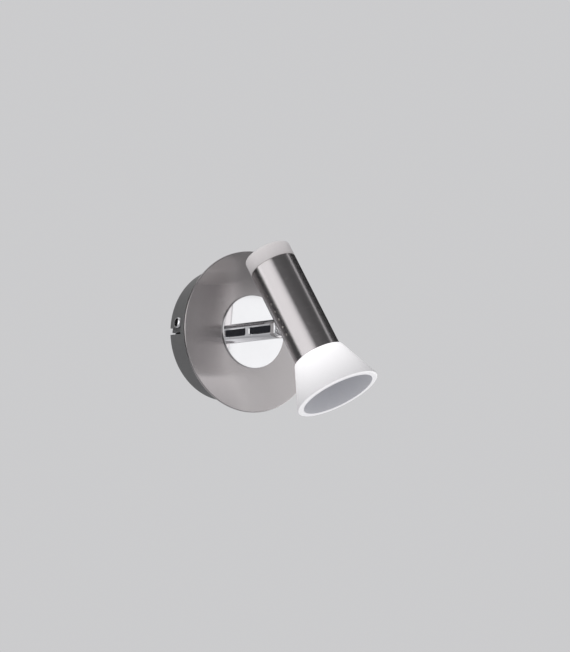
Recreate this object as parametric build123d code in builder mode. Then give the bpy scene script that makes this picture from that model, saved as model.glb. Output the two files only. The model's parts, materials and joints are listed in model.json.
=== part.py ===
"""Wall spotlight: a round canopy, a short arm and a tube-shaped head that swivels and tilts.

Millimetres. The origin is the middle of the canopy's back, on the wall.
X runs to the right, Y into the wall and Z up.
"""
from build123d import *
import os
from math import cos, radians, sin, sqrt

# Pose of the head, as photographed
LEAN = 13.1            # swivel about the arm, from straight down
TILT = 26.7            # mouth away from the wall, from hanging parallel to it

# Canopy
PLATE_D = 110.0
PLATE_T = 2.0
PLATE_EDGE = 0.6
DRUM_D = 92.0
DRUM_DEPTH = 30.2
DRUM_WALL = 1.2
DRUM_EDGE = 1.5
DISC_D = 50.0
DISC_T = 1.2
DISC_EDGE = 0.4
PLATE_SCREW_R = 18.0   # circle of the countersunk screws under the disc
PLATE_SCREW_COUNT = 3
PLATE_SCREW_LEN = 6.0

# Mounting plate on the wall
MOUNT_T = 1.5
MOUNT_MARGIN = 2.8     # from the plate's rim to the inside of the drum
EAR_W = 12.0
EAR_H = 15.0
EAR_GAP = 0.8          # from the ear's face to the inside of the drum
WALL_SLOT_SPACING = 60.0
WALL_SLOT_W = 4.6
WALL_SLOT_LEN = 12.0
SIDE_SCREW_TURN = 6.6   # angle of the side screws above the level line
SIDE_SCREW_OUT = 10.5   # from the wall
SIDE_SCREW_D = 4.0
SIDE_HEAD_D = 7.5
SIDE_HEAD_H = 2.4
SIDE_HEAD_ROUND = 1.7
SIDE_SCREW_SPARE = 1.5  # thread that shows inside the ear
BAYONET_RUN = 5.3      # sideways run of the slot
BAYONET_PLAY = 0.4

# Cable entry
GROMMET_HOLE_D = 14.0
GROMMET_BORE_D = 9.0
GROMMET_FLANGE_D = 18.0
GROMMET_FLANGE_T = 2.0
GROMMET_ROUND = 0.5

# Driver, terminals and earth
DRIVER_L = 42.0
DRIVER_W = 20.0
DRIVER_H = 17.0
DRIVER_CLEAR = 1.5     # from the grommet's flange
DRIVER_TAB = 6.0
DRIVER_TAB_T = 2.0
DRIVER_ROUND = 2.0
DRIVER_EDGE = 1.0
DRIVER_TAB_W = 10.0
M3_D = 3.0
M3_HEAD_D = 5.6
M3_HEAD_H = 1.8
M3_HEAD_ROUND = 0.9
POLE_COUNT = 3
POLE_PITCH = 9.0
POLE_D = 8.0
TERMINAL_W = 14.0
TERMINAL_BASE_T = 4.0
TERMINAL_INSET = 11.0  # from the mounting plate's rim
WIRE_HOLE_D = 3.2
CLAMP_SCREW_D = 3.0
CLAMP_SPACING = 7.0
TERMINAL_SCREW_D = 2.5
TERMINAL_HEAD_D = 4.4
TERMINAL_HEAD_H = 1.6
EARTH_INSET = 11.8
EARTH_TURN = -26.6     # angle of the earth screw from the level line
EARTH_WASHER_D = 9.0
EARTH_WASHER_T = 0.8
M4_D = 4.0
M4_HEAD_D = 7.0
M4_HEAD_H = 2.6
M4_HEAD_ROUND = 1.3

# Arm
ARM_D = 13.2
ARM_LEN = 32.0
ARM_FLAT_CUT = 0.9     # depth of each flat side
ARM_EDGE = 0.4
INLAY_RIM = 1.0        # polished rim above and below the inlay
INLAY_START = 2.4      # from the disc
INLAY_END = 4.6        # from the arm's end
INLAY_DEEP = 1.0
INLAY_T = 0.5
INLAY_ROUND = 1.2
INLAY_FIT = 0.05
INLAY_BEVEL = 0.5      # polished edge around each inlay's pocket
NIPPLE_D = 8.0
NIPPLE_BORE_D = 5.5
NIPPLE_IN_ARM = 8.0
NIPPLE_SPARE = 2.0     # thread that shows behind the nut
NUT_AF = 13.0
NUT_T = 4.0
LOCK_WASHER_D = 16.0
LOCK_WASHER_T = 1.0
LOCK_TEETH = 12
LOCK_NOTCH_W = 1.0
LOCK_NOTCH_DEEP = 1.0
DOWEL_D = 1.6
DOWEL_R = 5.3
DOWEL_IN_ARM = 3.0

# Knuckle
BALL_D = 10.2
PIVOT_RISE = 1.6       # from the arm's end to the hinge pin
SPINDLE_D = 5.6
SPINDLE_LEN = 11.0
ARM_FRONT_WALL = 6.0
SPINDLE_BORE_D = 2.6
HINGE_PIN_D = 2.4
HINGE_PIN_SHY = 0.4    # pin's ends lie this far inside the ball
TONGUE_T = 3.0
TONGUE_R = 2.6
TONGUE_PLAY = 0.1      # each side, in the knuckle's slot
SLOT_DEEPER = 0.5      # slot's floor below the tongue's tip
RING_T = 0.7
RING_D = 7.4
RING_GROOVE = 0.4
RING_GAP = 2.4
WAVE_WASHER_T = 0.5

# Head
TUBE_D = 32.0
TUBE_WALL = 1.2
TUBE_ABOVE = 36.2      # from the hinge's level to the tube's upper end
TUBE_BELOW = 33.8
TUBE_EDGE = 0.3
HEAD_GAP = 0.4         # between the ball and the tube
VENT_D = 1.6
VENT_PITCH = 5.9
VENT_COUNT = 6
VENT_SHIFT = -0.5
STUD_D = 4.0
STUD_IN = 8.0          # from the tube's back to the stud's end
STUD_RISE = 0.3        # stud's shoulder on the tongue
SADDLE_D = 10.0
SADDLE_T = 2.0
LUG_NUT_AF = 7.0
LUG_NUT_T = 3.2
CAP_H = 10.6
CAP_EDGE = 1.8
CAP_TOP_T = 3.2
CAP_WALL = 2.4
SPIGOT_LEN = 6.0
SHADE_STEP = 1.3       # shade's shoulder outside the tube
SHADE_NECK = 2.7       # plain bore above the tube's end, before the flare
SHADE_MOUTH_D = 58.4
SHADE_LEN = 29.8
SHADE_RIM = 4.4        # width of the rim at the mouth
SHADE_EDGE = 1.2
SHADE_LIP_EDGE = 0.3   # inner edge of the rim
SHADE_TOP_EDGE = 1.0
SPIGOT_WALL = 2.9

# Light engine
SINK_LEN = 13.0
SINK_BASE_T = 4.0
SINK_CORE_D = 13.0
SINK_FINS = 12
SINK_SLOT_W = 2.0
BOARD_D = 24.0
BOARD_T = 1.6
BOARD_SEAT = 8.2       # from the tube's end to the board's outer face
BOARD_SCREW_R = 9.4
BOARD_SCREW_D = 2.0
BOARD_HEAD_D = 3.2
BOARD_HEAD_H = 1.2
LED_D = 8.0
LED_T = 0.9
LENS_FOOT_D = 13.0
LENS_H = 7.2
LENS_WALL_PLAY = 0.2
LENS_LED_PLAY = 0.4
LENS_DISH = 2.0
SET_SCREW_D = 2.5
SET_SCREW_LEN = 5.0
SET_SCREW_SHY = 0.3    # screw's end lies this far below the tube's back

# Clearances
SLIP = 0.1             # pieces that push together by hand
RUNNING = 0.05         # radial, where a pin or spindle turns
SCREW_PLAY = 0.1       # radial, where a screw passes through
RUB = 0.05             # between flat faces that turn on each other

# Places along the line that stands out from the wall
drum_front = DRUM_DEPTH
plate_front = drum_front + PLATE_T
disc_front = plate_front + DISC_T
arm_end = disc_front + ARM_LEN
pivot_out = arm_end + RUB + PIVOT_RISE
drum_inside = drum_front - DRUM_WALL
drum_bore_r = DRUM_D / 2 - DRUM_WALL
mount_r = drum_bore_r - MOUNT_MARGIN
ear_face_r = drum_bore_r - EAR_GAP
driver_up = GROMMET_FLANGE_D / 2 + DRIVER_CLEAR + DRIVER_W / 2
terminal_down = mount_r - TERMINAL_INSET - TERMINAL_W / 2
earth_x = (mount_r - EARTH_INSET) * cos(radians(EARTH_TURN))
earth_z = (mount_r - EARTH_INSET) * sin(radians(EARTH_TURN))
flat_x = ARM_D / 2 - ARM_FLAT_CUT
flat_h = 2 * sqrt((ARM_D / 2) ** 2 - flat_x ** 2)
inlay_len = ARM_LEN - INLAY_START - INLAY_END
inlay_h = flat_h - 2 * INLAY_RIM
inlay_mid = disc_front + INLAY_START + inlay_len / 2

# Places along the head's axis, from the hinge's level towards the mouth
tube_top = -TUBE_ABOVE
tube_bottom = TUBE_BELOW
tube_bore_r = TUBE_D / 2 - TUBE_WALL
spigot_r = tube_bore_r - SLIP
head_offset = TUBE_D / 2 + HEAD_GAP + BALL_D / 2
lower_seat = tube_bottom - BOARD_SEAT
upper_seat = tube_top + BOARD_SEAT

# Frames: the wall's, the knuckle's, the hinge's and the tube's
swing = (cos(radians(LEAN)), 0, sin(radians(LEAN)))
aim = (
    cos(radians(TILT)) * sin(radians(LEAN)),
    -sin(radians(TILT)),
    -cos(radians(TILT)) * cos(radians(LEAN)),
)
pivot = (0, -pivot_out, 0)
wall = Plane(origin=(0, 0, 0), x_dir=(1, 0, 0), z_dir=(0, -1, 0))
knuckle_frame = Plane(origin=pivot, x_dir=swing, z_dir=(0, -1, 0))
hinge = Plane(origin=pivot, x_dir=swing, z_dir=aim)
tube_frame = Plane(
    origin=hinge.from_local_coords((0, head_offset, 0)), x_dir=hinge.x_dir, z_dir=hinge.z_dir
)
lug_frame = Plane(origin=pivot, x_dir=hinge.y_dir, z_dir=hinge.x_dir)


def centre_line(frame):
    """The axis that a frame's round pieces turn about."""
    return Axis(frame.origin, frame.z_dir)


def section(frame):
    """The plane of a frame's turned profiles: across is the radius, up is along the axis."""
    return Plane(origin=frame.origin, x_dir=frame.x_dir, z_dir=-frame.y_dir)


def radial(turn, out):
    """A plane that faces outwards from the canopy's axis, at a turn and a distance from the wall."""
    facing = Vector(cos(radians(turn)), 0, sin(radians(turn)))
    return Plane(origin=(0, -out, 0), x_dir=facing.cross(Vector(0, -1, 0)), z_dir=facing)


def arm_side(side, out):
    """A plane that faces left (-1) or right (1), at the middle of the arm's inlay."""
    return Plane(origin=(side * out, -inlay_mid, 0), x_dir=(0, 1, 0), z_dir=(side, 0, 0))


def tube_back(along):
    """A plane at a place along the tube that faces out of its back, towards the arm."""
    spot = tube_frame.from_local_coords((0, 0, along))
    return Plane(origin=spot, x_dir=tube_frame.x_dir, z_dir=-tube_frame.y_dir)


def end_frame(along, facing):
    """A frame on the tube's axis that looks out of its lower end (1) or its upper end (-1)."""
    spot = tube_frame.from_local_coords((0, 0, along))
    return Plane(origin=spot, x_dir=tube_frame.x_dir, z_dir=tube_frame.z_dir * facing)


def write(piece, name):
    piece.part.label = name
    export_step(piece.part, f"parts/{name}.step")


os.makedirs("parts", exist_ok=True)
side_turns = (180 - SIDE_SCREW_TURN, 360 - SIDE_SCREW_TURN)
driver_screw_x = DRIVER_L / 2 + DRIVER_TAB / 2

# Mounting plate: a round sheet with two ears bent up for the side screws
with BuildPart() as mount_plate:
    with BuildSketch(wall):
        Circle(mount_r)
        with PolarLocations(0, 2, start_angle=side_turns[0]):
            Rectangle(ear_face_r, EAR_W, align=(Align.MIN, Align.CENTER))
        Circle(GROMMET_HOLE_D / 2, mode=Mode.SUBTRACT)
        with GridLocations(WALL_SLOT_SPACING, 0, 2, 1):
            SlotOverall(WALL_SLOT_LEN, WALL_SLOT_W, mode=Mode.SUBTRACT)
        with Locations((0, driver_up)):
            with GridLocations(2 * driver_screw_x, 0, 2, 1):
                Circle(M3_D / 2 + SCREW_PLAY, mode=Mode.SUBTRACT)
        with Locations((0, -terminal_down)):
            with GridLocations(POLE_PITCH, 0, POLE_COUNT - 1, 1):
                Circle(TERMINAL_SCREW_D / 2 + SCREW_PLAY, mode=Mode.SUBTRACT)
        with Locations((earth_x, earth_z)):
            Circle(M4_D / 2 + SCREW_PLAY, mode=Mode.SUBTRACT)
    extrude(amount=MOUNT_T)
    with BuildSketch(wall):
        with PolarLocations(ear_face_r - MOUNT_T, 2, start_angle=side_turns[0]):
            Rectangle(MOUNT_T, EAR_W, align=(Align.MIN, Align.CENTER))
    extrude(amount=EAR_H)
    for turn in side_turns:
        with BuildSketch(radial(turn, SIDE_SCREW_OUT)):
            Circle(SIDE_SCREW_D / 2 + RUNNING)
        extrude(amount=DRUM_D / 2, mode=Mode.SUBTRACT)
write(mount_plate, "mount_plate")

with BuildPart() as cable_grommet:
    with BuildSketch(wall):
        Circle(GROMMET_HOLE_D / 2 - RUNNING)
    extrude(amount=MOUNT_T)
    with BuildSketch(wall.offset(MOUNT_T)):
        Circle(GROMMET_FLANGE_D / 2)
    extrude(amount=GROMMET_FLANGE_T)
    with BuildSketch(wall):
        Circle(GROMMET_BORE_D / 2)
    extrude(amount=MOUNT_T + GROMMET_FLANGE_T, mode=Mode.SUBTRACT)
    fillet(cable_grommet.edges().filter_by(GeomType.CIRCLE).group_by(Axis.Y)[0], GROMMET_ROUND)
write(cable_grommet, "cable_grommet")

# Drum: a drawn cup, open to the wall, with a bayonet slot for each side screw
with BuildPart() as canopy_drum:
    with BuildSketch(wall):
        Circle(DRUM_D / 2)
    extrude(amount=DRUM_DEPTH)
    fillet(canopy_drum.edges().group_by(Axis.Y)[0], DRUM_EDGE)
    with BuildSketch(wall):
        Circle(drum_bore_r)
    extrude(amount=drum_inside, mode=Mode.SUBTRACT)
    with BuildSketch(wall.offset(drum_inside)):
        Circle(NIPPLE_D / 2 + SLIP)
        with Locations((0, DOWEL_R)):
            Circle(DOWEL_D / 2 + RUNNING)
        with PolarLocations(PLATE_SCREW_R, PLATE_SCREW_COUNT, start_angle=90):
            Circle(M3_D / 2 + RUNNING)
    extrude(amount=DRUM_WALL, mode=Mode.SUBTRACT)
    bayonet_w = SIDE_SCREW_D + BAYONET_PLAY
    bayonet_deep = SIDE_SCREW_OUT + bayonet_w / 2
    for turn in side_turns:
        with BuildSketch(radial(turn, SIDE_SCREW_OUT)):
            with Locations((-BAYONET_RUN / 2, 0)):
                SlotCenterToCenter(BAYONET_RUN, bayonet_w)
            with Locations((-BAYONET_RUN, -bayonet_w / 2)):
                Rectangle(bayonet_w, bayonet_deep, align=(Align.CENTER, Align.MIN))
        extrude(amount=DRUM_D, mode=Mode.SUBTRACT)
write(canopy_drum, "canopy_drum")

side_screw_end_r = ear_face_r - MOUNT_T - SIDE_SCREW_SPARE
with BuildPart() as side_screws:
    for turn in side_turns:
        with BuildSketch(radial(turn, SIDE_SCREW_OUT).offset(DRUM_D / 2 + RUB)):
            Circle(SIDE_HEAD_D / 2)
        extrude(amount=SIDE_HEAD_H)
        with BuildSketch(radial(turn, SIDE_SCREW_OUT).offset(side_screw_end_r)):
            Circle(SIDE_SCREW_D / 2)
        extrude(amount=DRUM_D / 2 + RUB - side_screw_end_r)
    rims = side_screws.edges().filter_by(GeomType.CIRCLE)
    crowns = [rim for rim in rims if rim.arc_center.length > DRUM_D / 2 + SIDE_HEAD_H]
    fillet(crowns, SIDE_HEAD_ROUND)
write(side_screws, "side_screws")

# Brushed front plate, wider than the drum
with BuildPart() as front_plate:
    with BuildSketch(wall.offset(drum_front)):
        Circle(PLATE_D / 2)
        Circle(NIPPLE_D / 2 + SLIP, mode=Mode.SUBTRACT)
        with Locations((0, DOWEL_R)):
            Circle(DOWEL_D / 2 + RUNNING, mode=Mode.SUBTRACT)
    extrude(amount=PLATE_T)
    outer_rims = front_plate.edges().filter_by(GeomType.CIRCLE).sort_by(SortBy.RADIUS)[-2:]
    fillet(outer_rims, PLATE_EDGE)
    with Locations(wall.offset(plate_front)):
        with PolarLocations(PLATE_SCREW_R, PLATE_SCREW_COUNT, start_angle=90):
            CounterSinkHole(M3_D / 2 + SCREW_PLAY, M3_HEAD_D / 2 + SCREW_PLAY, PLATE_T, 90)
write(front_plate, "front_plate")

with BuildPart() as plate_screws:
    head_cone = (M3_HEAD_D - M3_D) / 2
    with BuildSketch(wall.offset(plate_front - PLATE_SCREW_LEN)):
        with PolarLocations(PLATE_SCREW_R, PLATE_SCREW_COUNT, start_angle=90):
            Circle(M3_D / 2)
    extrude(amount=PLATE_SCREW_LEN)
    with Locations(wall.offset(plate_front - head_cone)):
        with PolarLocations(PLATE_SCREW_R, PLATE_SCREW_COUNT, start_angle=90):
            Cone(M3_D / 2, M3_HEAD_D / 2, head_cone, align=(Align.CENTER, Align.CENTER, Align.MIN))
write(plate_screws, "plate_screws")

# Polished disc under the arm
with BuildPart() as chrome_disc:
    with BuildSketch(wall.offset(plate_front)):
        Circle(DISC_D / 2)
        Circle(NIPPLE_D / 2 + SLIP, mode=Mode.SUBTRACT)
        with Locations((0, DOWEL_R)):
            Circle(DOWEL_D / 2 + RUNNING, mode=Mode.SUBTRACT)
    extrude(amount=DISC_T)
    disc_rims = chrome_disc.edges().filter_by(GeomType.CIRCLE).sort_by(SortBy.RADIUS)[-2:]
    fillet(disc_rims.sort_by(Axis.Y)[0], DISC_EDGE)
write(chrome_disc, "chrome_disc")

# Driver: a closed moulded box with a screw tab at each end
with BuildPart() as led_driver:
    with BuildSketch(wall.offset(MOUNT_T)):
        with Locations((0, driver_up)):
            RectangleRounded(DRIVER_L, DRIVER_W, DRIVER_ROUND)
    extrude(amount=DRIVER_H)
    fillet(led_driver.edges().group_by(Axis.Y)[0], DRIVER_EDGE)
    with BuildSketch(wall.offset(MOUNT_T)):
        with Locations((0, driver_up)):
            RectangleRounded(DRIVER_L + 2 * DRIVER_TAB, DRIVER_TAB_W, DRIVER_ROUND)
            with GridLocations(2 * driver_screw_x, 0, 2, 1):
                Circle(M3_D / 2 + SCREW_PLAY, mode=Mode.SUBTRACT)
    extrude(amount=DRIVER_TAB_T)
write(led_driver, "led_driver")

with BuildPart() as driver_screws:
    with BuildSketch(wall):
        with Locations((0, driver_up)):
            with GridLocations(2 * driver_screw_x, 0, 2, 1):
                Circle(M3_D / 2)
    extrude(amount=MOUNT_T + DRIVER_TAB_T)
    with BuildSketch(wall.offset(MOUNT_T + DRIVER_TAB_T)):
        with Locations((0, driver_up)):
            with GridLocations(2 * driver_screw_x, 0, 2, 1):
                Circle(M3_HEAD_D / 2)
    extrude(amount=M3_HEAD_H)
    fillet(driver_screws.edges().group_by(Axis.Y)[0], M3_HEAD_ROUND)
write(driver_screws, "driver_screws")

# Terminal block: a base strip with a barrel for each pole
terminal_l = POLE_COUNT * POLE_PITCH
barrel_out = MOUNT_T + TERMINAL_BASE_T
with BuildPart() as terminal_block:
    with BuildSketch(wall.offset(MOUNT_T)):
        with Locations((0, -terminal_down)):
            Rectangle(terminal_l, TERMINAL_W)
    extrude(amount=TERMINAL_BASE_T)
    with BuildSketch(Plane.XY.offset(-terminal_down)):
        with Locations((0, -barrel_out)):
            with GridLocations(POLE_PITCH, 0, POLE_COUNT, 1):
                Circle(POLE_D / 2)
    extrude(amount=TERMINAL_W / 2, both=True)
    with BuildSketch(Plane.XY.offset(-terminal_down)):
        with Locations((0, -barrel_out)):
            with GridLocations(POLE_PITCH, 0, POLE_COUNT, 1):
                Circle(WIRE_HOLE_D / 2)
    extrude(amount=TERMINAL_W / 2, both=True, mode=Mode.SUBTRACT)
    with BuildSketch(wall.offset(barrel_out)):
        with Locations((0, -terminal_down)):
            with GridLocations(POLE_PITCH, CLAMP_SPACING, POLE_COUNT, 2):
                Circle(CLAMP_SCREW_D / 2 + RUNNING)
    extrude(amount=POLE_D / 2, mode=Mode.SUBTRACT)
    with BuildSketch(wall.offset(MOUNT_T)):
        with Locations((0, -terminal_down)):
            with GridLocations(POLE_PITCH, 0, POLE_COUNT - 1, 1):
                Circle(TERMINAL_SCREW_D / 2 + SCREW_PLAY)
    extrude(amount=TERMINAL_BASE_T, mode=Mode.SUBTRACT)
    with BuildSketch(wall.offset(barrel_out)):
        with Locations((0, -terminal_down)):
            with GridLocations(POLE_PITCH, 0, POLE_COUNT - 1, 1):
                Circle(TERMINAL_HEAD_D / 2 + SCREW_PLAY)
    extrude(amount=POLE_D, mode=Mode.SUBTRACT)
write(terminal_block, "terminal_block")

with BuildPart() as clamp_screws:
    with BuildSketch(wall.offset(barrel_out + WIRE_HOLE_D / 2)):
        with Locations((0, -terminal_down)):
            with GridLocations(POLE_PITCH, CLAMP_SPACING, POLE_COUNT, 2):
                Circle(CLAMP_SCREW_D / 2)
    extrude(amount=POLE_D / 2 - WIRE_HOLE_D / 2)
write(clamp_screws, "clamp_screws")

with BuildPart() as terminal_screws:
    with BuildSketch(wall):
        with Locations((0, -terminal_down)):
            with GridLocations(POLE_PITCH, 0, POLE_COUNT - 1, 1):
                Circle(TERMINAL_SCREW_D / 2)
    extrude(amount=barrel_out)
    with BuildSketch(wall.offset(barrel_out)):
        with Locations((0, -terminal_down)):
            with GridLocations(POLE_PITCH, 0, POLE_COUNT - 1, 1):
                Circle(TERMINAL_HEAD_D / 2)
    extrude(amount=TERMINAL_HEAD_H)
write(terminal_screws, "terminal_screws")

with BuildPart() as earth_washer:
    with BuildSketch(wall.offset(MOUNT_T)):
        with Locations((earth_x, earth_z)):
            Circle(EARTH_WASHER_D / 2)
            Circle(M4_D / 2 + SCREW_PLAY, mode=Mode.SUBTRACT)
    extrude(amount=EARTH_WASHER_T)
write(earth_washer, "earth_washer")

with BuildPart() as earth_screw:
    with BuildSketch(wall):
        with Locations((earth_x, earth_z)):
            Circle(M4_D / 2)
    extrude(amount=MOUNT_T + EARTH_WASHER_T)
    with BuildSketch(wall.offset(MOUNT_T + EARTH_WASHER_T)):
        with Locations((earth_x, earth_z)):
            Circle(M4_HEAD_D / 2)
    extrude(amount=M4_HEAD_H)
    fillet(earth_screw.edges().group_by(Axis.Y)[0], M4_HEAD_ROUND)
write(earth_screw, "earth_screw")

# Arm: a round bar with two flats, hollow from the base, with a pocket for an inlay in each flat
spindle_bore_r = SPINDLE_D / 2 + RUNNING
with BuildPart() as arm:
    with BuildSketch(wall.offset(disc_front)):
        Circle(ARM_D / 2)
        Rectangle(2 * flat_x, ARM_D, mode=Mode.INTERSECT)
    extrude(amount=ARM_LEN)
    chamfer(arm.edges().group_by(Axis.Y)[0], ARM_EDGE)
    with BuildSketch(wall.offset(disc_front)):
        Circle(NIPPLE_D / 2 + RUNNING)
    extrude(amount=ARM_LEN - ARM_FRONT_WALL, mode=Mode.SUBTRACT)
    with BuildSketch(wall.offset(disc_front)):
        Circle(spindle_bore_r)
    extrude(amount=ARM_LEN, mode=Mode.SUBTRACT)
    with BuildSketch(wall.offset(disc_front)):
        with Locations((0, DOWEL_R)):
            Circle(DOWEL_D / 2 + RUNNING)
    extrude(amount=DOWEL_IN_ARM, mode=Mode.SUBTRACT)
    for side in (-1, 1):
        with BuildSketch(arm_side(side, flat_x)):
            RectangleRounded(inlay_len, inlay_h, INLAY_ROUND)
        extrude(amount=-INLAY_DEEP, mode=Mode.SUBTRACT)
    flats = arm.faces().filter_by(Axis.X).sort_by(Axis.X)
    pocket_rims = flats[0].inner_wires()[0].edges() + flats[-1].inner_wires()[0].edges()
    chamfer(pocket_rims, INLAY_BEVEL)
write(arm, "arm")

with BuildPart() as arm_inlays:
    for side in (-1, 1):
        with BuildSketch(arm_side(side, flat_x - INLAY_DEEP)):
            RectangleRounded(
                inlay_len - 2 * INLAY_FIT, inlay_h - 2 * INLAY_FIT, INLAY_ROUND - INLAY_FIT
            )
        extrude(amount=INLAY_T)
write(arm_inlays, "arm_inlays")

# Hollow nipple, toothed washer, nut and dowel that hold the arm to the canopy
washer_back = drum_inside - LOCK_WASHER_T
nut_back = washer_back - NUT_T
with BuildPart() as arm_nipple:
    with BuildSketch(wall.offset(nut_back - NIPPLE_SPARE)):
        Circle(NIPPLE_D / 2)
        Circle(NIPPLE_BORE_D / 2, mode=Mode.SUBTRACT)
    extrude(amount=disc_front + NIPPLE_IN_ARM - nut_back + NIPPLE_SPARE)
write(arm_nipple, "arm_nipple")

with BuildPart() as lock_washer:
    with BuildSketch(wall.offset(washer_back)):
        Circle(LOCK_WASHER_D / 2)
        Circle(NIPPLE_D / 2 + SLIP, mode=Mode.SUBTRACT)
        with PolarLocations(LOCK_WASHER_D / 2, LOCK_TEETH):
            Rectangle(2 * LOCK_NOTCH_DEEP, LOCK_NOTCH_W, mode=Mode.SUBTRACT)
    extrude(amount=LOCK_WASHER_T)
write(lock_washer, "lock_washer")

with BuildPart() as arm_nut:
    with BuildSketch(wall.offset(nut_back)):
        RegularPolygon(NUT_AF / 2, 6, major_radius=False)
        Circle(NIPPLE_D / 2 + RUNNING, mode=Mode.SUBTRACT)
    extrude(amount=NUT_T)
write(arm_nut, "arm_nut")

with BuildPart() as arm_dowel:
    with BuildSketch(wall.offset(drum_inside)):
        with Locations((0, DOWEL_R)):
            Circle(DOWEL_D / 2)
    extrude(amount=disc_front + DOWEL_IN_ARM - drum_inside)
write(arm_dowel, "arm_dowel")

# Knuckle: a ball cut flat where it turns on the arm's end, slotted for the head's tongue
base_r = sqrt((BALL_D / 2) ** 2 - PIVOT_RISE ** 2)
tongue_slot = TONGUE_T + 2 * TONGUE_PLAY
spindle_end = -PIVOT_RISE - SPINDLE_LEN
groove_top = -PIVOT_RISE - RUB - ARM_FRONT_WALL - WAVE_WASHER_T - RUB
with BuildPart() as knuckle:
    with BuildSketch(section(knuckle_frame)):
        with BuildLine():
            Polyline(
                (0, BALL_D / 2),
                (0, spindle_end),
                (SPINDLE_D / 2, spindle_end),
                (SPINDLE_D / 2, groove_top - RING_T),
                (SPINDLE_D / 2 - RING_GROOVE, groove_top - RING_T),
                (SPINDLE_D / 2 - RING_GROOVE, groove_top),
                (SPINDLE_D / 2, groove_top),
                (SPINDLE_D / 2, -PIVOT_RISE),
                (base_r, -PIVOT_RISE),
            )
            RadiusArc((base_r, -PIVOT_RISE), (0, BALL_D / 2), -BALL_D / 2)
        make_face()
    revolve(axis=centre_line(knuckle_frame))
    with BuildSketch(knuckle_frame.offset(-TONGUE_R - SLOT_DEEPER)):
        Rectangle(tongue_slot, 2 * BALL_D)
    extrude(amount=2 * BALL_D, mode=Mode.SUBTRACT)
    with BuildSketch(knuckle_frame.offset(spindle_end)):
        Circle(SPINDLE_BORE_D / 2)
    extrude(amount=SPINDLE_LEN, mode=Mode.SUBTRACT)
    with BuildSketch(lug_frame):
        Circle(HINGE_PIN_D / 2)
    extrude(amount=BALL_D, both=True, mode=Mode.SUBTRACT)
write(knuckle, "knuckle")

with BuildPart() as hinge_pin:
    with BuildSketch(lug_frame):
        Circle(HINGE_PIN_D / 2)
    extrude(amount=sqrt(BALL_D ** 2 - HINGE_PIN_D ** 2) / 2 - HINGE_PIN_SHY, both=True)
write(hinge_pin, "hinge_pin")

with BuildPart() as wave_washer:
    with BuildSketch(knuckle_frame.offset(groove_top)):
        Circle(RING_D / 2)
        Circle(spindle_bore_r, mode=Mode.SUBTRACT)
    extrude(amount=WAVE_WASHER_T)
write(wave_washer, "wave_washer")

with BuildPart() as retaining_ring:
    with BuildSketch(knuckle_frame.offset(groove_top - RING_T)):
        Circle(RING_D / 2)
        Circle(SPINDLE_D / 2 - RING_GROOVE, mode=Mode.SUBTRACT)
        Rectangle(RING_D, RING_GAP, align=(Align.MIN, Align.CENTER), mode=Mode.SUBTRACT)
    extrude(amount=RING_T)
write(retaining_ring, "retaining_ring")

# Hinge lug: a tongue that seats on the tube's back, with a stud through the wall
with BuildPart() as hinge_lug:
    with BuildSketch(lug_frame):
        Circle(TONGUE_R)
        Rectangle(head_offset, 2 * TONGUE_R, align=(Align.MIN, Align.CENTER))
        Circle(HINGE_PIN_D / 2 + RUNNING, mode=Mode.SUBTRACT)
    extrude(amount=TONGUE_T / 2, both=True)
    with BuildSketch(tube_frame):
        Circle(TUBE_D / 2)
    extrude(amount=TUBE_D, both=True, mode=Mode.SUBTRACT)
    with BuildSketch(tube_back(0).offset(TUBE_D / 2 - STUD_IN)):
        Circle(STUD_D / 2)
    extrude(amount=STUD_IN + STUD_RISE)
write(hinge_lug, "hinge_lug")

# Washer shaped to the inside of the tube, and the stud's nut
saddle_top = tube_bore_r - SADDLE_T
with BuildPart() as saddle_washer:
    with BuildSketch(tube_back(0).offset(saddle_top)):
        Circle(SADDLE_D / 2)
        Circle(STUD_D / 2 + SCREW_PLAY, mode=Mode.SUBTRACT)
    extrude(amount=SADDLE_T)
    with BuildSketch(tube_frame):
        Circle(tube_bore_r)
    extrude(amount=TUBE_D, both=True, mode=Mode.INTERSECT)
write(saddle_washer, "saddle_washer")

with BuildPart() as lug_nut:
    with BuildSketch(tube_back(0).offset(saddle_top - LUG_NUT_T)):
        RegularPolygon(LUG_NUT_AF / 2, 6, major_radius=False)
        Circle(STUD_D / 2 + RUNNING, mode=Mode.SUBTRACT)
    extrude(amount=LUG_NUT_T)
write(lug_nut, "lug_nut")

# Lamp tube with a row of vents in each side
set_screw_in = BOARD_T + SINK_BASE_T / 2
set_screw_places = (lower_seat - set_screw_in, upper_seat + set_screw_in)
set_screw_end_r = TUBE_D / 2 - SET_SCREW_LEN
with BuildPart() as lamp_tube:
    with BuildSketch(tube_frame.offset(tube_top)):
        Circle(TUBE_D / 2)
        Circle(tube_bore_r, mode=Mode.SUBTRACT)
    extrude(amount=TUBE_ABOVE + TUBE_BELOW)
    chamfer(lamp_tube.edges().filter_by(GeomType.CIRCLE).sort_by(SortBy.RADIUS)[-2:], TUBE_EDGE)
    with BuildSketch(tube_back(0)):
        Circle(STUD_D / 2 + SCREW_PLAY)
    extrude(amount=TUBE_D, mode=Mode.SUBTRACT)
    for place in set_screw_places:
        with BuildSketch(tube_back(place)):
            Circle(SET_SCREW_D / 2 + RUNNING)
        extrude(amount=TUBE_D, mode=Mode.SUBTRACT)
    vent_middle = tube_frame.from_local_coords((0, 0, VENT_SHIFT))
    with BuildSketch(Plane(origin=vent_middle, x_dir=tube_frame.z_dir, z_dir=tube_frame.x_dir)):
        with GridLocations(VENT_PITCH, 0, VENT_COUNT, 1):
            Circle(VENT_D / 2)
    extrude(amount=TUBE_D, both=True, mode=Mode.SUBTRACT)
write(lamp_tube, "lamp_tube")

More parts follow.
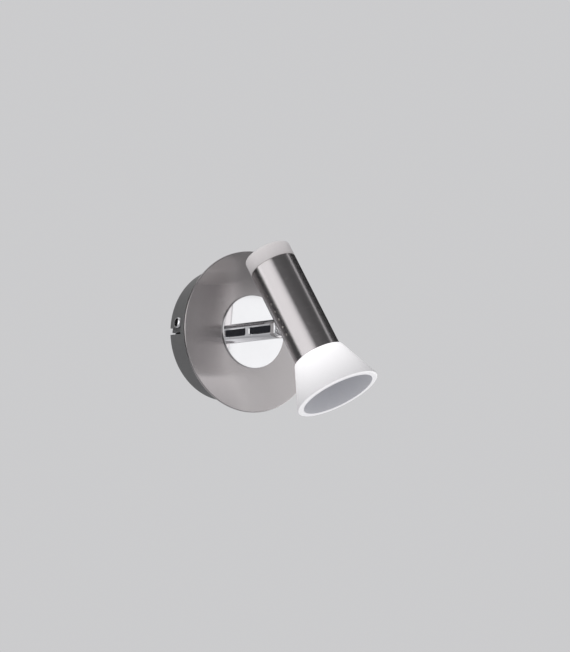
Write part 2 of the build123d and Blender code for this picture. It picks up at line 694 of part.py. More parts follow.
with BuildPart() as set_screws:
    for place in set_screw_places:
        with BuildSketch(tube_back(place).offset(set_screw_end_r)):
            Circle(SET_SCREW_D / 2)
        extrude(amount=SET_SCREW_LEN - SET_SCREW_SHY)
write(set_screws, "set_screws")

# Opal cap: a plug the size of the tube, hollow from below
cap_top = tube_top - CAP_H
cap_bore_r = spigot_r - CAP_WALL
with BuildPart() as top_cap:
    with BuildSketch(section(tube_frame)):
        with BuildLine():
            Polyline(
                (0, cap_top),
                (TUBE_D / 2, cap_top),
                (TUBE_D / 2, tube_top),
                (spigot_r, tube_top),
                (spigot_r, tube_top + SPIGOT_LEN),
                (cap_bore_r, tube_top + SPIGOT_LEN),
                (cap_bore_r, cap_top + CAP_TOP_T),
                (0, cap_top + CAP_TOP_T),
                close=True,
            )
        make_face()
    revolve(axis=centre_line(tube_frame))
    cap_rim = top_cap.edges().filter_by(GeomType.CIRCLE).group_by(SortBy.RADIUS)[-1]
    fillet(cap_rim.sort_by(centre_line(tube_frame))[0], CAP_EDGE)
write(top_cap, "top_cap")

# Frosted shade: a spigot in the tube, then a flared wall of even thickness
mouth = tube_bottom + SHADE_LEN
mouth_bore_r = SHADE_MOUTH_D / 2 - SHADE_RIM
shade_bore_r = spigot_r - SPIGOT_WALL
with BuildPart() as shade:
    with BuildSketch(section(tube_frame)):
        with BuildLine():
            Polyline(
                (shade_bore_r, tube_bottom - SPIGOT_LEN),
                (spigot_r, tube_bottom - SPIGOT_LEN),
                (spigot_r, tube_bottom),
                (TUBE_D / 2 + SHADE_STEP, tube_bottom),
                (SHADE_MOUTH_D / 2, mouth),
                (mouth_bore_r, mouth),
                (shade_bore_r, tube_bottom - SHADE_NECK),
                close=True,
            )
        make_face()
    revolve(axis=centre_line(tube_frame))
    shoulder = shade.edges().filter_by(GeomType.CIRCLE).sort_by(SortBy.RADIUS)[-3]
    fillet(shoulder, SHADE_TOP_EDGE)
    lip, rim = shade.edges().filter_by(GeomType.CIRCLE).sort_by(SortBy.RADIUS)[-2:]
    fillet(rim, SHADE_EDGE)
    fillet(lip, SHADE_LIP_EDGE)
write(shade, "shade")

# Light engine at each end of the tube: heat sink, board with its screws, and emitter
lower_end = end_frame(lower_seat, 1)
upper_end = end_frame(upper_seat, -1)
for end, frame, place in zip(("lower", "upper"), (lower_end, upper_end), set_screw_places):
    with BuildPart() as heat_sink:
        with BuildSketch(frame.offset(-BOARD_T)):
            Circle(spigot_r)
        extrude(amount=-SINK_LEN)
        with BuildSketch(frame.offset(-BOARD_T - SINK_BASE_T)):
            with PolarLocations(SINK_CORE_D / 2, SINK_FINS):
                Rectangle(TUBE_D / 2, SINK_SLOT_W, align=(Align.MIN, Align.CENTER))
        extrude(amount=SINK_BASE_T - SINK_LEN, mode=Mode.SUBTRACT)
        with BuildSketch(frame.offset(-BOARD_T)):
            with GridLocations(2 * BOARD_SCREW_R, 0, 2, 1):
                Circle(BOARD_SCREW_D / 2 + RUNNING)
        extrude(amount=-SINK_BASE_T, mode=Mode.SUBTRACT)
        with BuildSketch(tube_back(place).offset(set_screw_end_r)):
            Circle(SET_SCREW_D / 2 + RUNNING)
        extrude(amount=TUBE_D, mode=Mode.SUBTRACT)
    write(heat_sink, f"{end}_heat_sink")

    with BuildPart() as led_board:
        with BuildSketch(frame.offset(-BOARD_T)):
            Circle(BOARD_D / 2)
            with GridLocations(2 * BOARD_SCREW_R, 0, 2, 1):
                Circle(BOARD_SCREW_D / 2 + SCREW_PLAY, mode=Mode.SUBTRACT)
        extrude(amount=BOARD_T)
    write(led_board, f"{end}_led_board")

    with BuildPart() as board_screws:
        with BuildSketch(frame.offset(-BOARD_T - SINK_BASE_T)):
            with GridLocations(2 * BOARD_SCREW_R, 0, 2, 1):
                Circle(BOARD_SCREW_D / 2)
        extrude(amount=BOARD_T + SINK_BASE_T)
        with BuildSketch(frame):
            with GridLocations(2 * BOARD_SCREW_R, 0, 2, 1):
                Circle(BOARD_HEAD_D / 2)
        extrude(amount=BOARD_HEAD_H)
    write(board_screws, f"{end}_board_screws")

    with BuildPart() as emitter:
        with BuildSketch(frame):
            Circle(LED_D / 2)
        extrude(amount=LED_T)
    write(emitter, f"{end}_emitter")

# Lens over the lower emitter, with a dished face
lens_r = shade_bore_r - LENS_WALL_PLAY
lens_well_r = LED_D / 2 + LENS_LED_PLAY
with BuildPart() as lens:
    with BuildSketch(section(lower_end)):
        with BuildLine():
            face = Polyline(
                (0, LENS_H - LENS_DISH),
                (0, LED_T + LENS_LED_PLAY),
                (lens_well_r, LED_T + LENS_LED_PLAY),
                (lens_well_r, 0),
                (LENS_FOOT_D / 2, 0),
                (lens_r, LENS_H),
            )
            TangentArc(face @ 0, face @ 1, tangent=(1, 0))
        make_face()
    revolve(axis=centre_line(lower_end))
write(lens, "lens")
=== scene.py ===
"""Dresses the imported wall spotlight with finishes, screw threads and recesses, and sets up its studio.

Metres, in the row frame: X to the right, Y into the wall, Z up.
"""
import json
from math import cos, pi, radians, sin, tau

import bmesh
import bpy
from mathutils import Matrix, Vector


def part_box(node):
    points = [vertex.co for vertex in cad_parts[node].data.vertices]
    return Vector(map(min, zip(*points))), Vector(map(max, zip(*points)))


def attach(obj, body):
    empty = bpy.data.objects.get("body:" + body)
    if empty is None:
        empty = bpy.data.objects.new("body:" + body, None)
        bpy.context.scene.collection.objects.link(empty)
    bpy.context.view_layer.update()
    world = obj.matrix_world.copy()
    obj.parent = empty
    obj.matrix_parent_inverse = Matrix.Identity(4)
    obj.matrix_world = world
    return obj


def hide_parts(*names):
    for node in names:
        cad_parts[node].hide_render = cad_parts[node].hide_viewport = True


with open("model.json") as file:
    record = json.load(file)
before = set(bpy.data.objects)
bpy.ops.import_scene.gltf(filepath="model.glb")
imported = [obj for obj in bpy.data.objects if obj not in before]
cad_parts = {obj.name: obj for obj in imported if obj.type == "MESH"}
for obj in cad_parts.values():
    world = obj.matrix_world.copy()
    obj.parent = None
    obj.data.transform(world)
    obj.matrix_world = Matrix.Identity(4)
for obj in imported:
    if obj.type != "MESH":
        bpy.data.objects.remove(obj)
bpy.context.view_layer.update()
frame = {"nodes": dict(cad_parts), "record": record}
nodes = frame["nodes"]
record = frame["record"]
slot_of = {entry["node"]: entry["material_slot"] for entry in record["subparts"]}
body_of = {node: body for body, members in record["behaviour"]["bodies"].items() for node in members}

# Directions: the room's, and the head's at rest
OUT = Vector((0, -1, 0))
UP = Vector((0, 0, 1))
SIDEWAYS = Vector((1, 0, 0))
LEAN = radians(13.1)
TILT = radians(26.7)
SWING = Vector((cos(LEAN), 0, sin(LEAN)))
AIM = Vector((cos(TILT) * sin(LEAN), -sin(TILT), -cos(TILT) * cos(LEAN)))
TUBE_BACK = Vector((sin(TILT) * sin(LEAN), cos(TILT), -sin(TILT) * cos(LEAN)))
TUBE_MIDDLE = sum(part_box("lamp_tube"), Vector()) / 2
SIDE_SCREW_TURN = radians(6.6)

# Camera, as fitted to the photograph: turn, rise, distance and what it is aimed beside
CAMERA_TURN = radians(-35.31)
CAMERA_RISE = radians(-4.75)
CAMERA_DISTANCE = 1.5
CAMERA_LENS_MM = 121.69
CAMERA_SENSOR_MM = 36.0
CAMERA_SIDE = 0.02184
CAMERA_UP = 0.00388
PLATE_CENTRE = Vector((0, -0.0322, 0))

# Studio: its colours, its floor and the middle that the lamps and cards face
BACKGROUND = (0.60, 0.60, 0.61)
AMBIENT = (0.38, 0.38, 0.39)
FLOOR_COLOURS = (0.85, 0.85, 0.86), (0.90, 0.90, 0.91)
FLOOR_ROUGH = (0.75, 0.85)
FLOOR_LEVEL = -1.4
FLOOR_RADIUS = 6.0
FLOOR_POINTS = 64
FLOOR_FADE = (2.0, 4.0)
CARD_ROUGH = (0.8, 0.9)
CARD_LIGHT_SHARE = 1.1
STAGE_PATCH = 0.05
STUDIO_MIDDLE = Vector((0, -0.06, 0))

# Patterns of the finishes
NOISE_DETAIL = 3.0
NOISE_RANGE = (0.3, 0.7)
CLOUD_ROUGHNESS = 0.55
STREAK_ROUGHNESS = 0.6
BRUSH_WIDTH = 0.00009
BRUSH_LENGTH = 0.012

# Opal acrylic, the painted glow on it from its upper to its lower end, and the painted glow inside the
# tube that shows by the vents
ACRYLIC_GRAIN = 0.0005
ACRYLIC_RELIEF = 0.000006
ACRYLIC_ROUGH = (0.40, 0.52)
ACRYLIC_DEPTH = 0.004
# Painted glow on the shade: emission on its outside from its upper to its lower end, a painted highlight
# on its rim and painted glow inside its mouth
SHADE_GLOW = (0.68, 0.12)
RIM_GLOW = 0.36
MOUTH_GLOW = 0.05
MOUTH_DEPTH = 0.016
# Painted glow on the cap, strongest at its upper end
CAP_GLOW = (0.20, 0.0)
GLOW_COLOUR = (1.0, 0.99, 1.0, 1)
# Facings that pick out the outside, which gets the painted glow, and the rim, which gets the painted
# highlight
OUTSIDE_FACING = (-0.5, 0.3)
RIM_FACING = (0.45, 0.7)
# Painted glow on the tube's inner wall, which shows through the vents, most through the lower ones
LEAK_GLOW = (0.05, 0.20)
LEAK_REACH = (-0.004, 0.010)
LEAK_DEPTH = (0.0001, 0.0004)
LEAK_COLOUR = (1.0, 0.96, 0.90, 1)

# Screws and pins; a recess is given in shares of its head
WELD = 0.000001
MEASURE = 0.00001
SEGMENTS = 32
PITCH_SHARE = 0.175
THREAD_SHARE = 0.6
ROWS_PER_PITCH = 6
RECESS_SHARE = 0.55
RECESS_TAPER = 0.8
RECESS_TURN = 0.7
SLOT_SHARES = (0.7, 0.08)
CROSS_SHARES = (0.30, 0.075)
HEX_SHARE = 0.29
HEX_SIDES = 6
DOME_ROWS = 6
CREASE = radians(35)


# Node helpers

def new_material(name, settings):
    """A material whose Principled shader has these settings; returns it, its tree and its shader."""
    made = bpy.data.materials.new(name)
    made.use_nodes = True
    shader = made.node_tree.nodes["Principled BSDF"]
    for socket, value in settings.items():
        shader.inputs[socket].default_value = value
    return made, made.node_tree, shader


def add_node(tree, kind, inputs=(), **options):
    """A new node with its options set, and its inputs set or linked by number or name."""
    node = tree.nodes.new(kind)
    for option, value in options.items():
        setattr(node, option, value)
    for socket, value in dict(inputs).items():
        if isinstance(value, bpy.types.NodeSocket):
            tree.links.new(value, node.inputs[socket])
        else:
            node.inputs[socket].default_value = value
    return node


def vector_math(tree, operation, inputs):
    """The outcome of one vector operation."""
    node = add_node(tree, "ShaderNodeVectorMath", inputs, operation=operation)
    return node.outputs["Value" if operation in ("DOT_PRODUCT", "LENGTH") else "Vector"]


def number_math(tree, operation, first, second):
    """The outcome of one sum with two numbers."""
    return add_node(tree, "ShaderNodeMath", {0: first, 1: second}, operation=operation).outputs["Value"]


def ramp(tree, value, span, result):
    """A number that runs over the result as the value runs over the span."""
    inputs = {"Value": value, "From Min": span[0], "From Max": span[1]}
    inputs.update({"To Min": result[0], "To Max": result[1]})
    return add_node(tree, "ShaderNodeMapRange", inputs).outputs["Result"]


def mix_numbers(tree, factor, first, second):
    """A number between two others, which are the node's inputs 2 and 3."""
    return add_node(tree, "ShaderNodeMix", {"Factor": factor, 2: first, 3: second}).outputs[0]


def mix_colours(tree, factor, first, second):
    """A colour between two others, which are the node's inputs 6 and 7."""
    inputs = {"Factor": factor, 6: first, 7: second}
    return add_node(tree, "ShaderNodeMix", inputs, data_type="RGBA").outputs[2]


def place(tree):
    """Where a point is on its own piece, in metres."""
    return add_node(tree, "ShaderNodeTexCoord").outputs["Object"]


def noise_at(tree, spot, scale, roughness):
    """Noise at a spot, which is scaled first."""
    inputs = {"Vector": spot, "Scale": scale, "Detail": NOISE_DETAIL, "Roughness": roughness}
    return add_node(tree, "ShaderNodeTexNoise", inputs).outputs["Fac"]


def cloud(tree, size):
    """Soft noise whose patches are about this size."""
    return noise_at(tree, place(tree), 1 / size, CLOUD_ROUGHNESS)


def streaks(tree, across):
    """Noise drawn out into brush lines that run square to the direction across."""
    spot = place(tree)
    along = vector_math(tree, "DOT_PRODUCT", {0: spot, 1: across})
    fine = vector_math(tree, "SCALE", {0: across / BRUSH_WIDTH, "Scale": along})
    coarse = vector_math(tree, "SCALE", {0: spot, "Scale": 1 / BRUSH_LENGTH})
    both = vector_math(tree, "ADD", {0: fine, 1: coarse})
    return noise_at(tree, both, 1.0, STREAK_ROUGHNESS)


def spread(tree, noise, low, high):
    """The noise's middle range, stretched to run from low to high."""
    return ramp(tree, noise, NOISE_RANGE, (low, high))


def tint(tree, noise, dark, light):
    """A colour that runs from dark to light with the noise."""
    return mix_colours(tree, spread(tree, noise, 0.0, 1.0), (*dark, 1), (*light, 1))


def dress(name, colours, rough, pattern, measure, settings, relief=None):
    """A material whose colour and roughness follow a pattern; returns it, its tree and its shader.

    The measure is the size of the pattern, or the direction across its lines.
    Relief adds bumps of that height.
    """
    made, tree, shader = new_material(name, settings)
    noise = pattern(tree, measure)
    tree.links.new(tint(tree, noise, *colours), shader.inputs["Base Color"])
    tree.links.new(spread(tree, noise, *rough), shader.inputs["Roughness"])
    if relief:
        bumps = add_node(tree, "ShaderNodeBump", {"Height": noise, "Distance": relief})
        tree.links.new(bumps.outputs["Normal"], shader.inputs["Normal"])
    return made, tree, shader


def brushed(name, colours, rough, across, stretch):
    """Metal with fine brush lines that run square to the direction across."""
    settings = {"Metallic": 1.0, "Anisotropic": stretch}
    made, tree, shader = dress(name, colours, rough, streaks, across, settings)
    turned_across = add_node(
        tree, "ShaderNodeVectorTransform", {"Vector": across},
        vector_type="VECTOR", convert_from="OBJECT", convert_to="WORLD",
    )
    tree.links.new(turned_across.outputs["Vector"], shader.inputs["Tangent"])
    return made


def plain(name, colours, rough, patch, relief=None, **settings):
    """A material with soft patches of slightly different colour and gloss."""
    sockets = {socket.replace("_", " "): value for socket, value in settings.items()}
    return dress(name, colours, rough, cloud, patch, sockets, relief)[0]


def opal(name, colours):
    """Frosted acrylic that light sinks into; returns the material, its tree and its shader."""
    settings = {
        "Subsurface Weight": 0.35,
        "Subsurface Radius": (ACRYLIC_DEPTH, ACRYLIC_DEPTH, ACRYLIC_DEPTH),
        "Subsurface Scale": 1.0,
        "Specular IOR Level": 0.35,
    }
    return dress(name, colours, ACRYLIC_ROUGH, cloud, ACRYLIC_GRAIN, settings, ACRYLIC_RELIEF)


def from_tube_axis(tree):
    """How far along the tube's axis a point is, and the way out to it from that axis."""
    spot = vector_math(tree, "SUBTRACT", {0: place(tree), 1: TUBE_MIDDLE})
    along = vector_math(tree, "DOT_PRODUCT", {0: spot, 1: AIM})
    axial = vector_math(tree, "SCALE", {0: AIM, "Scale": along})
    return along, vector_math(tree, "SUBTRACT", {0: spot, 1: axial})


def lit_opal(name, piece, outside_colours, inside_colours, ends_glow, rim_glow=0.0, mouth_glow=0.0):
    """Frosted acrylic with painted glow for the lamp inside: emission on its outside, a painted
    highlight on its rim and painted glow inside its mouth.
    """
    made, tree, shader = opal(name, outside_colours)
    outer_colour = shader.inputs["Base Color"].links[0].from_socket
    along, outward = from_tube_axis(tree)
    facing = add_node(tree, "ShaderNodeTexCoord").outputs["Normal"]
    away = vector_math(tree, "NORMALIZE", {0: outward})
    faces_out = vector_math(tree, "DOT_PRODUCT", {0: facing, 1: away})
    outside = ramp(tree, faces_out, OUTSIDE_FACING, (0.0, 1.0))
    # On the shade, the inside colours are painted shade
    inner_colour = tint(tree, cloud(tree, ACRYLIC_GRAIN), *inside_colours)
    colour = mix_colours(tree, outside, inner_colour, outer_colour)
    tree.links.new(colour, shader.inputs["Base Color"])
    reach = [(corner.co - TUBE_MIDDLE).dot(AIM) for corner in piece.data.vertices]
    # Painted glow: emission on the outside from the upper to the lower end, and inside near the mouth
    outer_glow = ramp(tree, along, (min(reach), max(reach)), ends_glow)
    inner_glow = ramp(tree, along, (max(reach) - MOUTH_DEPTH, max(reach)), (0.0, mouth_glow))
    wall_glow = mix_numbers(tree, outside, inner_glow, outer_glow)
    # Painted highlight: emission on the faces that turn towards the mouth, the rim
    faces_mouth = vector_math(tree, "DOT_PRODUCT", {0: facing, 1: AIM})
    on_rim = ramp(tree, faces_mouth, RIM_FACING, (0.0, rim_glow))
    glow = number_math(tree, "ADD", wall_glow, on_rim)
    tree.links.new(glow, shader.inputs["Emission Strength"])
    shader.inputs["Emission Color"].default_value = GLOW_COLOUR
    return made


def leaking(made, piece):
    """Adds painted glow on the tube's inner wall, standing in for the lamp's light inside, which shows
    through its vents and most through the lower ones.
    """
    tree = made.node_tree
    shader = tree.nodes["Principled BSDF"]
    radius = max((corner.co - TUBE_MIDDLE).cross(AIM).length for corner in piece.data.vertices)
    along, outward = from_tube_axis(tree)
    depth = number_math(tree, "SUBTRACT", radius, vector_math(tree, "LENGTH", {0: outward}))
    inside = ramp(tree, depth, LEAK_DEPTH, (0.0, 1.0))
    glow = number_math(tree, "MULTIPLY", inside, ramp(tree, along, LEAK_REACH, LEAK_GLOW))
    tree.links.new(glow, shader.inputs["Emission Strength"])
    shader.inputs["Emission Color"].default_value = LEAK_COLOUR
    return made


# Finishes by slot, each with its darkest and lightest colour; the two opal pieces have their own

looks = {
    "satin_nickel": brushed(
        "satin_nickel", ((0.51, 0.485, 0.485), (0.56, 0.535, 0.535)),
        rough=(0.18, 0.21), across=SIDEWAYS, stretch=1.0,
    ),
    # The tube's finish carries painted glow on its inner wall
    "satin_aluminium": leaking(brushed(
        "satin_aluminium", ((0.61, 0.58, 0.585), (0.64, 0.61, 0.615)),
        rough=(0.255, 0.275), across=AIM, stretch=0.7,
    ), nodes["lamp_tube"]),
    "grey_lacquer": plain(
        "grey_lacquer", ((0.16, 0.16, 0.16), (0.19, 0.19, 0.19)),
        rough=(0.42, 0.52), patch=0.0006, relief=0.00001,
    ),
    "chrome": plain(
        "chrome", ((0.83, 0.83, 0.84), (0.86, 0.86, 0.87)),
        rough=(0.03, 0.05), patch=0.015, Metallic=1.0,
    ),
    "dark_inlay": plain(
        "dark_inlay", ((0.010, 0.011, 0.015), (0.018, 0.019, 0.026)),
        rough=(0.16, 0.30), patch=0.001, Specular_IOR_Level=0.12,
    ),
    "clear_acrylic": plain(
        "clear_acrylic", ((0.93, 0.94, 0.95), (0.97, 0.98, 0.98)),
        rough=(0.04, 0.12), patch=0.0012, Transmission_Weight=1.0, IOR=1.49,
    ),
    "zinc_steel": plain(
        "zinc_steel", ((0.58, 0.585, 0.60), (0.64, 0.64, 0.65)),
        rough=(0.33, 0.38), patch=0.003, relief=0.000001, Metallic=1.0,
    ),
    "black_rubber": plain(
        "black_rubber", ((0.018, 0.018, 0.018), (0.035, 0.035, 0.035)),
        rough=(0.65, 0.85), patch=0.0005, relief=0.00002,
    ),
    "white_plastic": plain(
        "white_plastic", ((0.72, 0.72, 0.70), (0.80, 0.80, 0.78)),
        rough=(0.45, 0.60), patch=0.0006, relief=0.00001,
    ),
    "brass": plain(
        "brass", ((0.60, 0.44, 0.18), (0.74, 0.57, 0.27)),
        rough=(0.22, 0.36), patch=0.001, Metallic=1.0,
    ),
    "raw_aluminium": plain(
        "raw_aluminium", ((0.60, 0.60, 0.61), (0.72, 0.72, 0.73)),
        rough=(0.32, 0.46), patch=0.001, relief=0.000008, Metallic=1.0,
    ),
    "board_white": plain(
        "board_white", ((0.78, 0.78, 0.76), (0.86, 0.86, 0.84)),
        rough=(0.35, 0.48), patch=0.001,
    ),
    "phosphor": plain(
        "phosphor", ((0.82, 0.66, 0.20), (0.92, 0.78, 0.32)),
        rough=(0.30, 0.42), patch=0.0006, Emission_Color=(1.0, 0.86, 0.62, 1), Emission_Strength=1.5,
    ),
}
shade_outside = (0.80, 0.79, 0.80), (0.84, 0.83, 0.84)
# Painted shade: the shade's inside is darker and bluer than its outside, though it is the same acrylic
shade_inside_painted_shade = (0.76, 0.765, 0.80), (0.81, 0.815, 0.85)
cap_colours = (0.63, 0.595, 0.595), (0.67, 0.635, 0.635)
looks_by_node = {name: looks.get(slot) for name, slot in slot_of.items()}
# The shade gets painted glow, a painted highlight on its rim and painted glow inside its mouth
looks_by_node["shade"] = lit_opal(
    "opal_shade", nodes["shade"], shade_outside, shade_inside_painted_shade, SHADE_GLOW, RIM_GLOW, MOUTH_GLOW
)
# The cap gets painted glow
looks_by_node["top_cap"] = lit_opal("opal_cap", nodes["top_cap"], cap_colours, cap_colours, CAP_GLOW)
for name, piece in nodes.items():
    piece.data.materials.clear()
    piece.data.materials.append(looks_by_node[name])


# Screws and pins, turned to their solids' outlines

def solids(piece):
    """The corners of each separate solid of a node."""
    form = bmesh.new()
    form.from_mesh(piece.data)
    bmesh.ops.remove_doubles(form, verts=form.verts, dist=WELD)
    seen = set()
    groups = []
    for first in form.verts:
        if first in seen:
            continue
        seen.add(first)
        group, queue = [], [first]
        while queue:
            corner = queue.pop()
            group.append(corner.co.copy())
            for other in [edge.other_vert(corner) for edge in corner.link_edges]:
                if other not in seen:
                    seen.add(other)
                    queue.append(other)
        groups.append(group)
    form.free()
    return groups


def turned_outline(corners, axis):
    """A round solid's axis point and its outline, as (height along the axis, radius) pairs."""
    heights = [corner.dot(axis) for corner in corners]
    flat = [corner - axis * height for corner, height in zip(corners, heights)]
    middle = sum(flat, Vector()) / len(flat)
    radii = [(spot - middle).length for spot in flat]
    rounded = {(round(h / MEASURE), round(r / MEASURE)) for h, r in zip(heights, radii)}
    return middle, [(h * MEASURE, r * MEASURE) for h, r in sorted(rounded)]


def thread_rows(low, high, radius):
    """The rings of a screw thread: their heights, and the radius at each turn."""
    pitch = 2 * radius * PITCH_SHARE
    count = round((high - low) / pitch * ROWS_PER_PITCH)
    rows = []
    for row in range(1, count):
        height = low + (high - low) * row / count
        depth = THREAD_SHARE * pitch * min(1.0, (height - low) / pitch, (high - height) / pitch)
        waves = [abs(2 * ((height / pitch - i / SEGMENTS) % 1) - 1) for i in range(SEGMENTS)]
        rows.append((height, [radius - depth * wave for wave in waves]))
    return rows


def screw_rows(outline):
    """The rings of a screw with a threaded shank, and the height and width of its head."""
    tip, radius = outline[0]
    shank_end = max(h for h, r in outline if abs(r - radius) < 2 * MEASURE)
    top = outline[-1][0]
    head_width = 2 * max(r for h, r in outline)
    head_height = top - shank_end if shank_end < top else head_width
    rows = [(tip, [radius - PITCH_SHARE * radius] * SEGMENTS)]
    rows += thread_rows(tip, shank_end, radius)
    rows += [(h, [r] * SEGMENTS) for h, r in outline if h >= shank_end]
    return rows, head_height, head_width


def square_to(axis):
    """Two directions square to an axis, the first as upright as it can be."""
    first = (UP - axis * UP.dot(axis)).normalized()
    return first, axis.cross(first)


def skin(form, rings):
    """Adds a closed solid to a mesh, over rings of points from its lower to its upper end."""
    rings = [[form.verts.new(spot) for spot in ring] for ring in rings]
    for lower, upper in zip(rings, rings[1:]):
        for i in range(len(lower)):
            j = (i + 1) % len(lower)
            form.faces.new((lower[i], lower[j], upper[j], upper[i]))
    form.faces.new(rings[0][::-1])
    form.faces.new(rings[-1])


def lathe(form, middle, axis, rows):
    """Adds a turned solid to a mesh, from rows of heights and radii."""
    first, second = square_to(axis)
    rings = []
    for height, radii in rows:
        ring = []
        for i, radius in enumerate(radii):
            turn = tau * i / SEGMENTS
            ring.append(middle + axis * height + radius * (cos(turn) * first + sin(turn) * second))
        rings.append(ring)
    skin(form, rings)


def prism(form, middle, axis, outline, turn, low, high, taper):
    """Adds a prism to a mesh, its lower end smaller by the taper."""
    first, second = square_to(axis)
    rings = []
    for height, scale in ((low, taper), (high, 1.0)):
        spots = [Matrix.Rotation(turn, 2) @ Vector(point) * scale for point in outline]
        rings.append([middle + axis * height + x * first + y * second for x, y in spots])
    skin(form, rings)


def round_points(count, radius):
    """Points spaced evenly round a circle."""
    return [(radius * cos(tau * i / count), radius * sin(tau * i / count)) for i in range(count)]


def slot_recess(width):
    """A straight slot right across a head."""
    x, y = [share * width for share in SLOT_SHARES]
    return [(x, -y), (x, y), (-x, y), (-x, -y)]


def cross_recess(width):
    """A cross for a cross-head driver."""
    x, y = [share * width for share in CROSS_SHARES]
    corners = [Vector(point) for point in ((x, -y), (x, y), (y, y))]
    return [Matrix.Rotation(i * pi / 2, 2) @ corner for i in range(4) for corner in corners]


def hex_recess(width):
    """A hexagon socket."""
    return round_points(HEX_SIDES, HEX_SHARE * width)


def add_piece(name, form, node, look):
    """A new piece from a mesh, which stands for a node and rides on its body."""
    data = bpy.data.meshes.new(name)
    form.to_mesh(data)
    form.free()
    data.materials.append(look)
    piece = bpy.data.objects.new(name, data)
    bpy.context.scene.collection.objects.link(piece)
    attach(piece, body_of[node])
    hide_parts(node)
    return piece


def cut_away(piece, form):
    """Cuts a mesh out of a piece."""
    data = bpy.data.meshes.new("cutter")
    form.to_mesh(data)
    form.free()
    tool = bpy.data.objects.new("cutter", data)
    bpy.context.scene.collection.objects.link(tool)
    cut = piece.modifiers.new("recess", "BOOLEAN")
    cut.operation = "DIFFERENCE"
    cut.solver = "EXACT"
    cut.object = tool
    bpy.context.view_layer.update()
    evaluated = piece.evaluated_get(bpy.context.evaluated_depsgraph_get())
    result = bpy.data.meshes.new_from_object(evaluated)
    piece.modifiers.clear()
    piece.data = result
    bpy.data.objects.remove(tool)


def finish_edges(data):
    """Smooth shading that keeps the creases."""
    data.shade_smooth()
    data.set_sharp_from_angle(angle=CREASE)


def screws(node, facing, recess):
    """Rebuilds a node's screws with threads and driver recesses; facing gives each head's direction."""
    body, cutter = bmesh.new(), bmesh.new()
    for count, corners in enumerate(solids(nodes[node])):
        axis = facing(corners)
        middle, outline = turned_outline(corners, axis)
        rows, head_height, head_width = screw_rows(outline)
        lathe(body, middle, axis, rows)
        top = outline[-1][0]
        depth = RECESS_SHARE * head_height
        turn = RECESS_TURN * (1 - count)
        prism(cutter, middle, axis, recess(head_width), turn, top - depth, top + depth, RECESS_TAPER)
    piece = add_piece(f"{node}_cut", body, node, looks_by_node[node])
    cut_away(piece, cutter)
    finish_edges(piece.data)


def from_middle(corners):
    """Out from the canopy's axis, to the side that the screw is on."""
    right_hand = Vector((cos(SIDE_SCREW_TURN), 0, -sin(SIDE_SCREW_TURN)))
    return right_hand if corners[0].x > 0 else -right_hand


def always(direction):
    """The same direction for every screw."""
    return lambda corners: direction


def domed_pin(node, axis):
    """Rebuilds a pin with round ends that pass through the rims of its flat ones."""
    middle, outline = turned_outline(solids(nodes[node])[0], axis)
    (low, radius), high = outline[0], outline[-1][0]
    centre = (low + high) / 2
    ball = Vector((high - centre, radius)).length
    dome = [radius * (row + 1) / DOME_ROWS for row in range(DOME_ROWS)]
    rows = [(centre - (ball ** 2 - r ** 2) ** 0.5, [r] * SEGMENTS) for r in dome]
    rows += [(2 * centre - height, radii) for height, radii in rows[::-1]]
    form = bmesh.new()
    lathe(form, middle, axis, rows)
    piece = add_piece(f"{node}_domed", form, node, looks_by_node[node])
    finish_edges(piece.data)


domed_pin("hinge_pin", SWING)
screws("side_screws", from_middle, slot_recess)
for node in ("plate_screws", "driver_screws", "terminal_screws", "earth_screw"):
    screws(node, always(OUT), cross_recess)
screws("clamp_screws", always(OUT), slot_recess)
screws("lower_board_screws", always(AIM), cross_recess)
screws("upper_board_screws", always(-AIM), cross_recess)
screws("set_screws", always(TUBE_BACK), hex_recess)


# Studio: floor, soft lamps and the cards that polished metal shows as darker bands

def look_along(direction):
    """A turn whose local Z points along a direction."""
    forward = direction.normalized()
    side = UP.cross(forward).normalized()
    return Matrix((side, forward.cross(side), forward)).transposed().to_4x4()


def around(turn, rise, distance):
    """A spot around the lamp's middle, by its angles as seen from the room."""
    turn, rise = radians(turn), radians(rise)
    out = Vector((sin(turn) * cos(rise), -cos(turn) * cos(rise), sin(rise)))
    return STUDIO_MIDDLE + out * distance


def softbox(name, turn, rise, distance, width, height, radiance, lights=True, mirrored=True):
    """A rectangular soft lamp aimed at the middle, which can light matt surfaces and show in metal."""
    data = bpy.data.lights.new(name, "AREA")
    data.shape = "RECTANGLE"
    data.size = width
    data.size_y = height
    data.energy = pi * width * height * radiance
    lamp = bpy.data.objects.new(name, data)
    spot = around(turn, rise, distance)
    lamp.matrix_world = Matrix.Translation(spot) @ look_along(spot - STUDIO_MIDDLE)
    lamp.visible_diffuse = lights
    lamp.visible_glossy = mirrored
    bpy.context.scene.collection.objects.link(lamp)


def stage_mesh(name, corners, look):
    """A flat stage piece through these corners."""
    data = bpy.data.meshes.new(name)
    data.from_pydata(corners, [], [range(len(corners))])
    data.materials.append(look)
    sheet = bpy.data.objects.new(name, data)
    bpy.context.scene.collection.objects.link(sheet)
    return sheet


def card(name, turn, rise, distance, width, height, grey):
    """A card beside the set that only shows in shiny surfaces."""
    light_grey = CARD_LIGHT_SHARE * grey
    colours = (grey, grey, grey), (light_grey, light_grey, light_grey)
    corners = [(x * width / 2, y * height / 2, 0) for x, y in ((-1, -1), (1, -1), (1, 1), (-1, 1))]
    sheet = stage_mesh(name, corners, plain(name, colours, CARD_ROUGH, STAGE_PATCH))
    spot = around(turn, rise, distance)
    sheet.matrix_world = Matrix.Translation(spot) @ look_along(STUDIO_MIDDLE - spot)
    sheet.visible_camera = False
    sheet.visible_diffuse = False
    sheet.visible_transmission = False
    sheet.visible_shadow = False


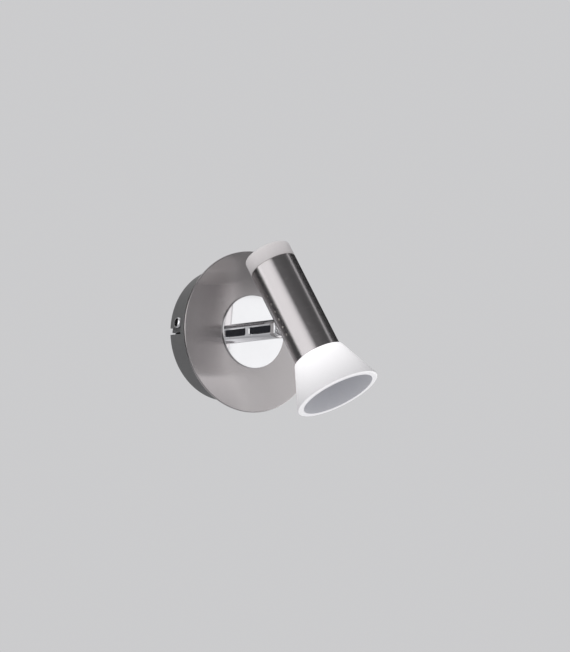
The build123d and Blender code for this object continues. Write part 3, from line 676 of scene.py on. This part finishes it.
def floor_look():
    """Matt floor that fades into the background's colour far away."""
    made, tree, shader = dress("floor", FLOOR_COLOURS, FLOOR_ROUGH, cloud, STAGE_PATCH, {})
    distance = vector_math(tree, "LENGTH", {0: place(tree)})
    fade = ramp(tree, distance, FLOOR_FADE, (0.0, 1.0))
    far = add_node(tree, "ShaderNodeEmission", {"Color": (*BACKGROUND, 1), "Strength": 1.0})
    both = add_node(tree, "ShaderNodeMixShader", {0: fade, 1: shader.outputs[0], 2: far.outputs[0]})
    tree.links.new(both.outputs[0], tree.nodes["Material Output"].inputs["Surface"])
    return made


def light_world():
    """Even light from all round; the camera, metal and glass see the pale background instead."""
    world = bpy.data.worlds.new("studio")
    world.use_nodes = True
    tree = world.node_tree
    ambient = tree.nodes["Background"]
    ambient.inputs["Color"].default_value = (*AMBIENT, 1)
    backdrop = add_node(tree, "ShaderNodeBackground", {"Color": (*BACKGROUND, 1), "Strength": 1.0})
    rays = add_node(tree, "ShaderNodeLightPath").outputs
    mirrored = number_math(tree, "MAXIMUM", rays["Is Glossy Ray"], rays["Is Transmission Ray"])
    shown = number_math(tree, "MAXIMUM", mirrored, rays["Is Camera Ray"])
    inputs = {0: shown, 1: ambient.outputs[0], 2: backdrop.outputs[0]}
    both = add_node(tree, "ShaderNodeMixShader", inputs)
    tree.links.new(both.outputs[0], tree.nodes["World Output"].inputs["Surface"])
    bpy.context.scene.world = world


floor_edge = [(x, y, FLOOR_LEVEL) for x, y in round_points(FLOOR_POINTS, FLOOR_RADIUS)]
stage_mesh("floor", floor_edge, floor_look())
# Each lamp and card: its turn and rise in degrees, distance, width, height, and its radiance or grey
softbox("left_softbox", -88, 12, 1.0, 1.35, 0.95, 0.57, lights=False)
softbox("right_softbox", 38.5, -1.3, 0.9, 0.40, 0.275, 0.45)
softbox("low_softbox", 86, -15, 0.9, 1.15, 0.46, 1.0, lights=False)
softbox("rear_softbox", -120, 12, 0.9, 0.30, 0.30, 1.0, lights=False)
softbox("key_softbox", -52, 20, 1.0, 0.7, 0.7, 2.1, mirrored=False)
card("left_rear_card", -143, 10, 1.0, 1.0, 1.4, 0.015)
card("right_rear_card", 98, 27, 1.0, 1.0, 0.75, 0.05)
card("near_card", 26, 6, 0.29, 0.075, 0.26, 0.15)
card("front_card", -32, -13, 1.3, 0.8, 0.55, 0.015)
card("upper_card", 0, 50, 1.0, 1.5, 0.9, 0.13)
card("right_edge_card", 126, 13, 0.9, 0.55, 0.5, 0.015)
card("middle_card", 36, 16.25, 0.95, 0.9, 0.305, 0.62)
light_world()


# Camera

back = Vector((
    sin(CAMERA_TURN) * cos(CAMERA_RISE),
    -cos(CAMERA_TURN) * cos(CAMERA_RISE),
    sin(CAMERA_RISE),
))
right = Vector((cos(CAMERA_TURN), sin(CAMERA_TURN), 0))
up = back.cross(right)
camera_data = bpy.data.cameras.new("camera")
camera_data.lens = CAMERA_LENS_MM
camera_data.sensor_width = CAMERA_SENSOR_MM
camera = bpy.data.objects.new("camera", camera_data)
spot = PLATE_CENTRE + CAMERA_SIDE * right + CAMERA_UP * up + CAMERA_DISTANCE * back
camera.matrix_world = Matrix.Translation(spot) @ Matrix((right, up, back)).transposed().to_4x4()
bpy.context.scene.collection.objects.link(camera)
bpy.context.scene.camera = camera
bpy.context.scene.view_settings.view_transform = "Standard"
